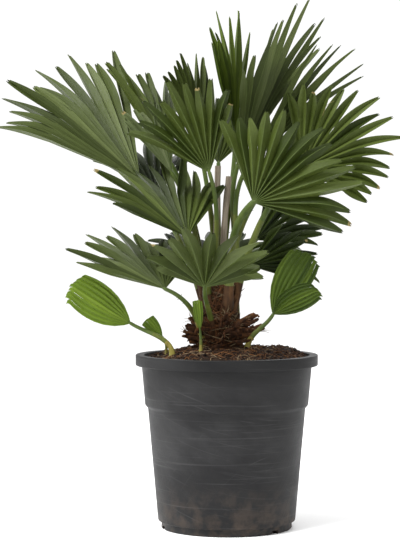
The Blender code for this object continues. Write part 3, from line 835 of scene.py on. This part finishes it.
# %% Dead stalks
DEAD_STALKS = {
    "dead_stalk_left": ((-5, 2), (-11.5, 0, 476)),
    "dead_stalk_right": ((3, -3), (3, 4, 462)),
}
DEAD_STALK_RADIUS = 4.2 * MM
cane = natural_finish("dry_cane", ((0.11, 0.085, 0.06), (0.26, 0.225, 0.17)), (0.7, 0.9), (200, 200, 12), 0.0006)
for name, (foot, top) in DEAD_STALKS.items():
    chance = random.Random(f"{SEED} {name}")
    start = Vector((TRUNK_X + foot[0] * MM, foot[1] * MM, TRUNK_PROFILE[0][1] * MM - 6 * MM))
    end = Vector(top) * MM
    bend = Vector((start.x, start.y, lerp((start.z, end.z), 0.5)))
    path = [start * (1 - s) ** 2 + bend * 2 * s * (1 - s) + end * s**2 for s in (k / 16 for k in range(17))]
    radii = [DEAD_STALK_RADIUS * chance.uniform(0.88, 1.02) for _ in path]
    shape = Shape()
    sweep(shape, path, radii, sides=14, flat=0.8)
    obstacles.add(shape.corners, shape.faces[:-2])
    dress(new_piece(f"cut_{name}", shape.mesh(f"cut_{name}", [cane])), "dead_stalk", name)

# %% [markdown]
# ## The trunk
#
# The trunk of a young fan palm is hidden in brown fibre, the torn net of its old leaf sheaths, with
# cut stubs that fan out at the foot. A core with relief carries it, the stubs are flattened tapering
# sweeps set out by the golden angle, and loose fibres cover both, because fur made of bump has no edge.

# %% The core
TRUNK_ROWS = 84
TRUNK_SIDES = 120
TRUNK_FOOT = 233 * MM
trunk_finishes = [
    natural_finish("trunk_brown", ((0.014, 0.0065, 0.0035), (0.062, 0.026, 0.011)), (0.8, 1.0), (260, 260, 60), 0.0014),
    natural_finish("trunk_orange", ((0.04, 0.017, 0.007), (0.12, 0.05, 0.018)), (0.75, 0.95), (260, 260, 60), 0.0008),
    natural_finish("trunk_straw", ((0.08, 0.055, 0.03), (0.19, 0.14, 0.08)), (0.75, 0.95), (260, 260, 60), 0.0008),
]


def bark_relief(turn, height):
    """Crossing ridges where the sheaths overlap, and upright fibres over them."""
    ridges = abs(math.sin(4 * turn + height / (9 * MM))) * abs(math.sin(4 * turn - height / (9 * MM)))
    fibres = noise.noise(Vector((math.cos(turn) * 16, math.sin(turn) * 16, height * 45)))
    return 1.8 * MM * ridges + 1.1 * MM * fibres


def core_shape():
    shape = Shape()
    top = TRUNK_PROFILE[0][1] * MM
    rings = []
    for row in range(TRUNK_ROWS + 1):
        height = lerp((top, TRUNK_FOOT), row / TRUNK_ROWS)
        ring = []
        for k in range(TRUNK_SIDES):
            turn = 2 * math.pi * k / TRUNK_SIDES
            radius = trunk_radius(height) - 1 * MM + bark_relief(turn, height)
            ring.append(shape.corner(Vector((TRUNK_X, 0, height)) + heading(math.degrees(turn)) * radius))
        rings.append(ring)
    for upper, lower in zip(rings, rings[1:]):
        for k in range(TRUNK_SIDES):
            after = (k + 1) % TRUNK_SIDES
            shape.face(0, upper[k], lower[k], lower[after], upper[after])
    shape.face(0, *rings[0])
    shape.face(0, *reversed(rings[-1]))
    return shape


# %% The stubs of old leaves
STUBS = 44
STUB_TURN = 137.5
STUB_HEIGHTS = (241 * MM, 284 * MM)
STUB_LENGTHS = (54 * MM, 22 * MM)
STUB_LIFTS = (10, 58)
STUB_RADIUS = 3.6 * MM
STUB_FRAYS = 6


def add_stub(shape, foot, along, length, chance):
    """A flattened stub that bends up a little and ends in a ragged cut."""
    rise = Vector((0, 0, length * chance.uniform(0.02, 0.16)))
    path = [foot + along * (length * s) + rise * s**2 for s in (k / 7 for k in range(8))]
    radii = [lerp((STUB_RADIUS * 1.15, STUB_RADIUS * 0.55), k / 7) * chance.uniform(0.9, 1.1) for k in range(8)]
    tone = chance.choice((0, 0, 0, 1))
    sweep(shape, path, radii, sides=9, tone=tone, flat=0.6)
    for _ in range(STUB_FRAYS):
        stray = Vector([chance.uniform(-1, 1) for _ in range(3)])
        fray = (along + stray * 0.55).normalized() * chance.uniform(3, 9) * MM
        root = path[-2] + stray * STUB_RADIUS * 0.35
        sweep(shape, [root, root + fray, root + fray * 1.6 + stray * 2 * MM],
              [0.45 * MM, 0.3 * MM, 0.1 * MM], sides=4, tone=chance.choice((1, 2)))


def add_stubs(shape):
    draws = random.Random(SEED)
    chance = random.Random(f"{SEED} stub looks")
    kept = 0
    for number in range(STUBS):
        share = number / (STUBS - 1)
        length = lerp(STUB_LENGTHS, share) * draws.uniform(0.8, 1.15)
        outward = heading(number * STUB_TURN + draws.uniform(-12, 12))
        lift = math.radians(lerp(STUB_LIFTS, share) + draws.uniform(-10, 10))
        along = outward * math.cos(lift) + Vector((0, 0, math.sin(lift)))
        foot = Vector((TRUNK_X, 0, lerp(STUB_HEIGHTS, share))) + outward * 10 * MM
        trial = Shape()
        sweep(trial, [foot, foot + along * length], [STUB_RADIUS, STUB_RADIUS * 0.5], sides=5)
        if obstacles.touched_by(trial.corners, trial.faces):
            continue
        add_stub(shape, foot, along, length, chance)
        kept += 1
    print(kept, "stubs stand clear of the stalks")


# % The nest of torn straps round the foot
STRAPS = 96
STRAP_FEET = ((12, 21), (238, 266))
STRAP_LENGTHS = (16, 42)
STRAP_LIFTS = (-0.15, 0.55)
STRAP_WIDTHS = (1.8, 3.8)
STRAP_CURL = (-0.1, 0.25)
STRAP_POINTS = 7


def add_straps(shape):
    """Dark, flat, torn strips that bend out and down from the foot of the trunk."""
    chance = random.Random(f"{SEED} straps")
    for number in range(STRAPS):
        turn = number * STUB_TURN + chance.uniform(-14, 14)
        outward = heading(turn)
        away, level = (chance.uniform(*ends) * MM for ends in STRAP_FEET)
        foot = Vector((TRUNK_X, 0, level)) + outward * away
        length = chance.uniform(*STRAP_LENGTHS) * MM
        rise = Vector((0, 0, chance.uniform(*STRAP_LIFTS)))
        tip = foot + (heading(turn + chance.uniform(-35, 35)) + rise) * length
        pulls = (foot + (outward + rise) * length / 3, tip + Vector((0, 0, length * chance.uniform(*STRAP_CURL))))
        path = [bezier((foot, tip), pulls, k / (STRAP_POINTS - 1)) for k in range(STRAP_POINTS)]
        width = chance.uniform(*STRAP_WIDTHS) * MM
        radii = [width * chance.uniform(0.75, 1.1) * (1 - 0.6 * (k / (STRAP_POINTS - 1)) ** 3) for k in range(STRAP_POINTS)]
        sweep(shape, path, radii, sides=8, tone=chance.choice((0, 0, 0, 0, 1)), flat=0.3)


# %% Loose fibres over the trunk
FIBRES = 900
WRAPS = (0.6, 0.6, 3, 6, 9)


def add_fibres(shape):
    chance = random.Random(f"{SEED} fibres")
    for _ in range(FIBRES):
        height = lerp((238 * MM, 316 * MM), chance.random() ** 1.2)
        turn = chance.uniform(0, 360)
        slant = chance.uniform(-1.4, 1.4)
        length = chance.uniform(14, 40) * MM
        wrap = chance.choice(WRAPS) * MM
        stand_off = chance.choice((0.2, 0.4, 0.8, 2.2)) * chance.uniform(1, 5) * MM
        path = []
        for k in range(7):
            share = k / 6
            level = min(height + length * share / (1 + abs(slant)), 330 * MM)
            radius = trunk_radius(min(level, 316 * MM)) + wrap + stand_off * share**2
            place = heading(turn + math.degrees(slant * length * share / (20 * MM))) * radius
            path.append(Vector((TRUNK_X, 0, level)) + place)
        thick = chance.uniform(0.25, 0.6) * MM
        sweep(shape, path, [thick] * 6 + [thick * 0.3], sides=4, tone=chance.choice((0, 0, 1, 1, 2)))


trunk = core_shape()
add_stubs(trunk)
add_straps(trunk)
add_fibres(trunk)
dress(new_piece("palm_trunk", trunk.mesh("palm_trunk", trunk_finishes), crease=45), "trunk_fibre", "trunk")

# %% [markdown]
# ## The fans
#
# A fan palm's leaf starts as one pleated sheet. Its leaflets stay joined for the first half, folded
# like a paper fan, then part at uneven depths and run on as stiff blades with a cleft tip. So the sheet
# is laid out from the hub in rows of five corners a leaflet: ridge, half, rib, half, ridge. A Solidify
# modifier gives the sheet its thickness, and a pale rib runs down each fold.

# %% The leaflets' proportions
CUP = 0.1
PARTINGS = (0.72, 0.86, 0.93, 1.0)
SLIT = 0.35
SWELL = 0.3
TAPER_LATE = 3.2
TIP_WIDTH = 0.34
HALF_BULGE = 0.1
FOLD_OPENS = 0.5
LENGTH_SPREAD = 0.12
BEND_SPREAD = 7
SWAY_SPREAD = 0.05
TWIST_SPREAD = 38
CLEFTS = (0.05, 0.2)
PALE_TIPS = 0.05
COLUMNS = (-1, -0.5, 0, 0.5, 1)
FUSED_ROWS = (0.04, 0.12, 0.28, 0.45, 0.6, 0.72, 0.79, 0.86, 0.93, 1.0)
FREE_ROWS = (0.08, 0.17, 0.26, 0.35, 0.44, 0.53, 0.62, 0.7, 0.78, 0.85, 0.91, 0.96)
BLADE_THICK = 0.5 * MM
RIB_RADII = (0.5 * MM, 0.25 * MM)
TURNS_TRIED = (0, 7, -7, 14, -14, 22, -22, 30, -30)
TRIMS_TRIED = (1, 0.85, 0.7, 0.55)
TEST_THICK = 1.2 * MM
THREAD_SHARE = 0.02
STRAW = 3
RIB = 4


@dataclass
class Leaflet:
    """One leaflet: its angle in the fan, its length, how it bends, and what its tip is like."""

    angle: float
    length: float
    bend: float
    sway: float
    twist: float
    cleft: float
    tone: int
    pale_tip: bool


# %% A fan and its rows
class Fan:
    """Leaflets fused from the hub out, then free and cleft."""

    def __init__(self, frond):
        self.frond = frond
        self.hub = Vector(frond.hub) * MM
        self.along, self.side, face = fan_axes(frond)
        self.upper = face * frond.upper
        self.count = frond.leaflets
        self.step = math.radians(frond.left + frond.right) / self.count
        self.reach = frond.reach * MM
        evenness = min(1, 0.5 + (frond.left_share + frond.right_share) / 4)
        self.fused = self.reach * frond.fused * evenness
        self.first = -math.radians(frond.right)
        draws = random.Random(f"{SEED} {frond.name}")
        looks = random.Random(f"{SEED} looks {frond.name}")
        self.leaflets = [self.leaflet(number, draws, looks) for number in range(self.count)]
        self.partings = [looks.choice(PARTINGS) for _ in range(self.count + 1)]

    def leaflet(self, number, draws, looks):
        frond = self.frond
        angle = self.first + (number + 0.5) * self.step
        opening = frond.left if angle > 0 else frond.right
        share = frond.left_share if angle > 0 else frond.right_share
        part = min(1, abs(math.degrees(angle)) / max(opening, 1))
        spread = LENGTH_SPREAD * (1 - frond.gather)
        length = self.reach * (1 + (share - 1) * part**2) * draws.uniform(1 - spread, 1 + spread / 2)
        return Leaflet(
            angle,
            length,
            bend=draws.uniform(-BEND_SPREAD, BEND_SPREAD) * (1 - frond.gather),
            sway=looks.uniform(-SWAY_SPREAD, SWAY_SPREAD) * (1 - frond.gather),
            twist=math.radians(looks.uniform(-TWIST_SPREAD, TWIST_SPREAD)) * (1 - frond.gather),
            cleft=looks.uniform(*CLEFTS) * (1 - frond.gather),
            tone=looks.choice((0, 0, 1, 2)),
            pale_tip=looks.random() < PALE_TIPS * frond.blunt * (1 - frond.gather),
        )

    def turned(self, radius, angle):
        """The heading at a radius: young leaflets set off wide, then gather side by side."""
        return angle * (1 - self.frond.gather * radius / self.reach)

    def place(self, radius, angle, aside=0.0, lift=0.0):
        """A point of the fan: out along a heading, then aside of it and off its face."""
        turned = self.turned(radius, angle)
        along = self.along * math.cos(turned) + self.side * math.sin(turned)
        across = self.side * math.cos(turned) - self.along * math.sin(turned)
        dish = CUP * radius * turned**2
        return self.hub + along * radius + across * aside + self.upper * (lift + dish)

    def half_width(self, radius):
        return radius * math.sin(self.turned(radius, self.step) / 2)

    def ridge(self, number, share, side=0):
        """A point where two leaflets meet, or just beside it on one of them once they have parted."""
        radius = self.fused * share
        half = self.half_width(radius)
        slit = SLIT * half * max(0, share - self.partings[number]) * side
        return self.place(radius, self.first + number * self.step, slit, self.frond.pleat * half)

    def rib(self, leaflet, share):
        radius = self.fused * share
        return self.place(radius, leaflet.angle, 0, -self.frond.pleat * self.half_width(radius))

    def width(self, leaflet, share):
        """Half the free part's width: it swells past the parting, then tapers to the tip."""
        radius = self.fused + (leaflet.length - self.fused) * share
        room = min(self.half_width(self.fused), self.half_width(radius))
        tip = min(0.95, TIP_WIDTH * self.frond.blunt)
        swell = 1 + SWELL * (1 - self.frond.gather) * math.sin(math.pi * share**0.7)
        return room * swell * (1 - share**TAPER_LATE * (1 - tip))

    def free_point(self, leaflet, share, aside, lift):
        out = (leaflet.length - self.fused) * share
        bend = math.radians(leaflet.bend)
        twist = leaflet.twist * share
        sideways = aside * math.cos(twist) - lift * math.sin(twist) + leaflet.sway * leaflet.length * share**2
        off_face = aside * math.sin(twist) + lift * math.cos(twist) + out * math.sin(bend)
        point = self.place(self.fused + out * math.cos(bend), leaflet.angle, sideways, off_face)
        point.z -= self.frond.droop * leaflet.length * share**2
        return point

    def free_row(self, leaflet, share, columns=COLUMNS):
        """Points across a free leaflet. Its fold opens towards the tip."""
        width = self.width(leaflet, share)
        fold = self.frond.pleat * width * (1 - FOLD_OPENS * share)
        points = []
        for column in columns:
            lift = fold * (2 * abs(column) - 1)
            if abs(column) == 0.5:
                lift += HALF_BULGE * width
            points.append(self.free_point(leaflet, share, column * width, lift))
        return points

    def tip_row(self, leaflet):
        """The cleft tip: two blunt points with the rib stopping short between them."""
        width = self.width(leaflet, 1)
        backs = (0.25, 0, 1, 0, 0.25)
        return [
            self.free_point(leaflet, 1 - leaflet.cleft * back, column * width, 0)
            for column, back in zip(COLUMNS, backs)
        ]

    def test_body(self, number, leaflet):
        """A slab a little thicker than the leaflet's free part, for finding what it would touch."""
        across = (-1, 0, 1)
        flat = [self.ridge(number, 1), self.rib(leaflet, 1), self.ridge(number + 1, 1)]
        flat += self.free_row(leaflet, 0.5, across) + self.free_row(leaflet, 1, across)
        half = self.upper * TEST_THICK
        corners = [point + half for point in flat] + [point - half for point in flat]
        under = len(flat)
        faces = []
        for row in (0, 3):
            for a in (row, row + 1):
                faces.append((a, a + 1, a + 4, a + 3))
                faces.append((under + a, under + a + 3, under + a + 4, under + a + 1))
            for a in (row, row + 2):
                faces.append((a, a + 3, under + a + 3, under + a))
        return corners, faces

    def settle(self):
        """Bends, then trims, each leaflet that would touch what stands there, or leaves it out."""
        for number, leaflet in enumerate(self.leaflets):
            self.settle_one(number, leaflet)

    def settle_one(self, number, leaflet):
        bend, length = leaflet.bend, leaflet.length
        for trim in TRIMS_TRIED:
            for turn in TURNS_TRIED:
                leaflet.bend = bend + turn
                leaflet.length = self.fused + (length - self.fused) * trim
                if not obstacles.touched_by(*self.test_body(number, leaflet)):
                    return
        leaflet.length = 0

    def fused_row(self, shape, shared, number, share):
        """Corners across a leaflet, the outer two shared with its neighbours until they part."""
        leaflet = self.leaflets[number]
        radius = self.fused * share
        half = self.half_width(radius)
        corners = []
        for column in COLUMNS:
            if abs(column) == 1:
                ridge = number + (column > 0)
                key = (ridge, share, column if share > self.partings[ridge] else 0)
                if key not in shared:
                    shared[key] = shape.corner(self.ridge(ridge, share, -column), (1, radius))
                corners.append(shared[key])
                continue
            lift = HALF_BULGE * half if column else -self.frond.pleat * half
            angle = leaflet.angle + column * self.step / 2
            corners.append(shape.corner(self.place(radius, angle, 0, lift), (abs(column), radius)))
        return corners

    def sheet(self):
        """The open sheet down the middle of the fan."""
        shape = Shape()
        hub = shape.corner(self.hub)
        shared = {}
        for number, leaflet in enumerate(self.leaflets):
            row = self.fused_row(shape, shared, number, FUSED_ROWS[0])
            for right, left in zip(row, row[1:]):
                shape.face(leaflet.tone, hub, right, left)
            for share in FUSED_ROWS[1:]:
                after = self.fused_row(shape, shared, number, share)
                strip(shape, leaflet.tone, row, after)
                row = after
            if leaflet.length:
                self.free_part(shape, leaflet, row)
        return shape

    def free_part(self, shape, leaflet, row):
        rows = [self.free_row(leaflet, share) for share in FREE_ROWS] + [self.tip_row(leaflet)]
        for number, points in enumerate(rows):
            tone = STRAW if number >= len(rows) - 2 and leaflet.pale_tip else leaflet.tone
            radius = self.fused + (leaflet.length - self.fused) * (number + 1) / len(rows)
            after = [shape.corner(point, (abs(column), radius)) for column, point in zip(COLUMNS, points)]
            strip(shape, tone, row, after)
            row = after

    def add_ribs(self, shape):
        """A slim pale rib down the fold of each leaflet, showing on both sides."""
        for leaflet in self.leaflets:
            path = [self.rib(leaflet, share) for share in FUSED_ROWS]
            if leaflet.length:
                path += [self.free_row(leaflet, share, (0,))[0] for share in FREE_ROWS[:-2]]
            radii = [lerp(RIB_RADII, k / (len(path) - 1)) for k in range(len(path))]
            sweep(shape, path, radii, sides=5, tone=RIB)

    def add_threads(self, shape, chance):
        """Thin curled fibres that hang where a few leaflets part."""
        for number in range(1, self.count):
            if chance.random() > THREAD_SHARE:
                continue
            start = self.ridge(number, 1)
            along = (start - self.hub).normalized()
            length = chance.uniform(20, 60) * MM
            curl = Vector([chance.uniform(-1, 1) for _ in range(3)]) * length * 0.25
            path = []
            for k in range(9):
                share = k / 8
                fall = Vector((0, 0, -length * 0.4 * share**2))
                path.append(start + along * (length * share) + curl * math.sin(share * 3) * share + fall)
            sweep(shape, path, [0.22 * MM] * 9, sides=4, tone=STRAW)


def strip(shape, tone, row, after):
    """Faces between two rows of corners."""
    for k in range(len(row) - 1):
        shape.face(tone, row[k], after[k], after[k + 1], row[k + 1])


# %% [markdown]
# ## Leaf finishes
#
# The leaves aren't one green. Old fans have a grey bloom of wax and the young shoots are bright. Fans in
# the shade of the crown take a dark green, which is painted shade, and the top fan a vivid green, which is
# painted light shining through it. Each fan takes one family, and each leaflet one of its three greens, as
# plain base colours. The grain runs along the leaflet, like its veins, and a low gloss comes from the wax.

# %% The families of green
FAMILIES = {
    "green": ((0.040, 0.056, 0.009), (0.063, 0.085, 0.017), (0.021, 0.032, 0.004)),
    "grey": ((0.050, 0.067, 0.016), (0.076, 0.097, 0.029), (0.030, 0.042, 0.008)),
    "bloom": ((0.088, 0.113, 0.043), (0.125, 0.150, 0.068), (0.052, 0.072, 0.022)),
    # Painted light: a vivid green for the top fan, standing in for light shining through its leaves.
    "fresh": ((0.058, 0.088, 0.007), (0.084, 0.122, 0.012), (0.034, 0.054, 0.004)),
    # Painted shade: the darkest family, for fans that lie in shade inside the crown.
    "dark": ((0.014, 0.023, 0.003), (0.023, 0.036, 0.005), (0.008, 0.014, 0.002)),
    "young": ((0.092, 0.146, 0.012), (0.124, 0.186, 0.018), (0.066, 0.110, 0.008)),
    "shoot": ((0.036, 0.062, 0.004), (0.052, 0.084, 0.006), (0.024, 0.044, 0.003)),
}
LEAF_GRAIN = (12, 34, 1)


def leaf_finish(name, colour):
    return natural_finish(name, shades(colour, 0.18), (0.36, 0.5), LEAF_GRAIN, 0.0007, source="UV")


straw = natural_finish("straw_tip", ((0.16, 0.125, 0.045), (0.26, 0.21, 0.09)), (0.6, 0.8), (200, 200, 200), 0.0003)
pale_rib = natural_finish("pale_rib", ((0.055, 0.080, 0.018), (0.085, 0.115, 0.032)), (0.4, 0.55), (200, 200, 200), 0.0003)
leaf_finishes = {
    look: [leaf_finish(f"leaf_{look}_{number + 1}", colour) for number, colour in enumerate(colours)]
    + [straw, pale_rib]
    for look, colours in FAMILIES.items()
}
print(sum(len(finishes) - 2 for finishes in leaf_finishes.values()), "leaf greens")


# %% Grow the fans
def joined(name, meshes, materials):
    """One mesh from several that share their material slots."""
    together = bmesh.new()
    for mesh in meshes:
        together.from_mesh(mesh)
    mesh = bpy.data.meshes.new(name)
    together.to_mesh(mesh)
    together.free()
    for material in materials:
        mesh.materials.append(material)
    return mesh


def make_fan(frond):
    fan = Fan(frond)
    fan.settle()
    sheet = fan.sheet()
    obstacles.add(sheet.corners, sheet.faces)
    finishes = leaf_finishes[frond.look]
    blade = new_piece(f"fan_{frond.name}", sheet.mesh("sheet", finishes))
    solid = blade.modifiers.new("thickness", "SOLIDIFY")
    solid.thickness = BLADE_THICK
    solid.offset = 0
    applied(blade)
    trim = Shape()
    fan.add_ribs(trim)
    if not frond.gather:
        fan.add_threads(trim, random.Random(f"{SEED} threads {frond.name}"))
    blade.data = joined(f"fan_{frond.name}", [blade.data, trim.mesh("trim", finishes)], finishes)
    blade.data.shade_smooth()
    blade.data.set_sharp_from_angle(angle=math.radians(30))
    slot = "young_leaf" if frond.gather else "leaf_green"
    dress(blade, slot, f"blade_{frond.name}")


for frond in FRONDS:
    make_fan(frond)

# %% [markdown]
# ## The studio
#
# The plant stands on a pale floor in soft light from all round, with one large lamp high at the left
# for shape and two weaker ones. The camera is level with the lower fans, a few metres off, with a long
# lens, so that the pot's rim shows as a slim ellipse.

# %% Floor, lamps and world
def make_floor():
    shape = Shape()
    size = 12
    corners = [shape.corner(Vector((x * size, y * size, 0))) for x, y in ((-1, -1), (1, -1), (1, 1), (-1, 1))]
    shape.face(0, *corners)
    finish = natural_finish("floor_paper", ((0.97, 0.97, 0.97), (0.99, 0.99, 0.99)), (0.7, 0.8), (3, 3, 3), 0.0002)
    floor = new_piece("floor", shape.mesh("floor", [finish]))


def add_lamp(name, place, size, energy):
    light = bpy.data.lights.new(name, "AREA")
    light.energy = energy
    light.size = size
    lamp = bpy.data.objects.new(name, light)
    lamp.location = place
    aim = Vector((0, 0, 0.35)) - lamp.location
    lamp.rotation_euler = aim.to_track_quat("-Z", "Y").to_euler()
    bpy.context.scene.collection.objects.link(lamp)


make_floor()
add_lamp("high_left", (-1.2, -1.3, 2.6), 1.0, 110)
add_lamp("left", (-2.4, -0.2, 0.7), 1.6, 24)
add_lamp("behind", (0.6, 2.0, 2.0), 1.6, 22)
world = bpy.data.worlds.new("studio")
world.use_nodes = True
world.node_tree.nodes["Background"].inputs["Color"].default_value = (1, 1, 1, 1)
world.node_tree.nodes["Background"].inputs["Strength"].default_value = 1.06
bpy.context.scene.world = world
bpy.context.scene.view_settings.view_transform = "Standard"

# %% Camera
CAMERA_PLACE = (-0.03515, -2.4, 0.4)
CAMERA_TILT = 88.56
CAMERA_LENS = 81.2
camera_data = bpy.data.cameras.new("camera")
camera_data.sensor_fit = "VERTICAL"
camera_data.sensor_height = 24
camera_data.lens = CAMERA_LENS
camera = bpy.data.objects.new("camera", camera_data)
camera.location = CAMERA_PLACE
camera.rotation_euler = (math.radians(CAMERA_TILT), 0, 0)
bpy.context.scene.collection.objects.link(camera)
bpy.context.scene.camera = camera
print("The camera stands", -CAMERA_PLACE[1], "m in front of the pot")
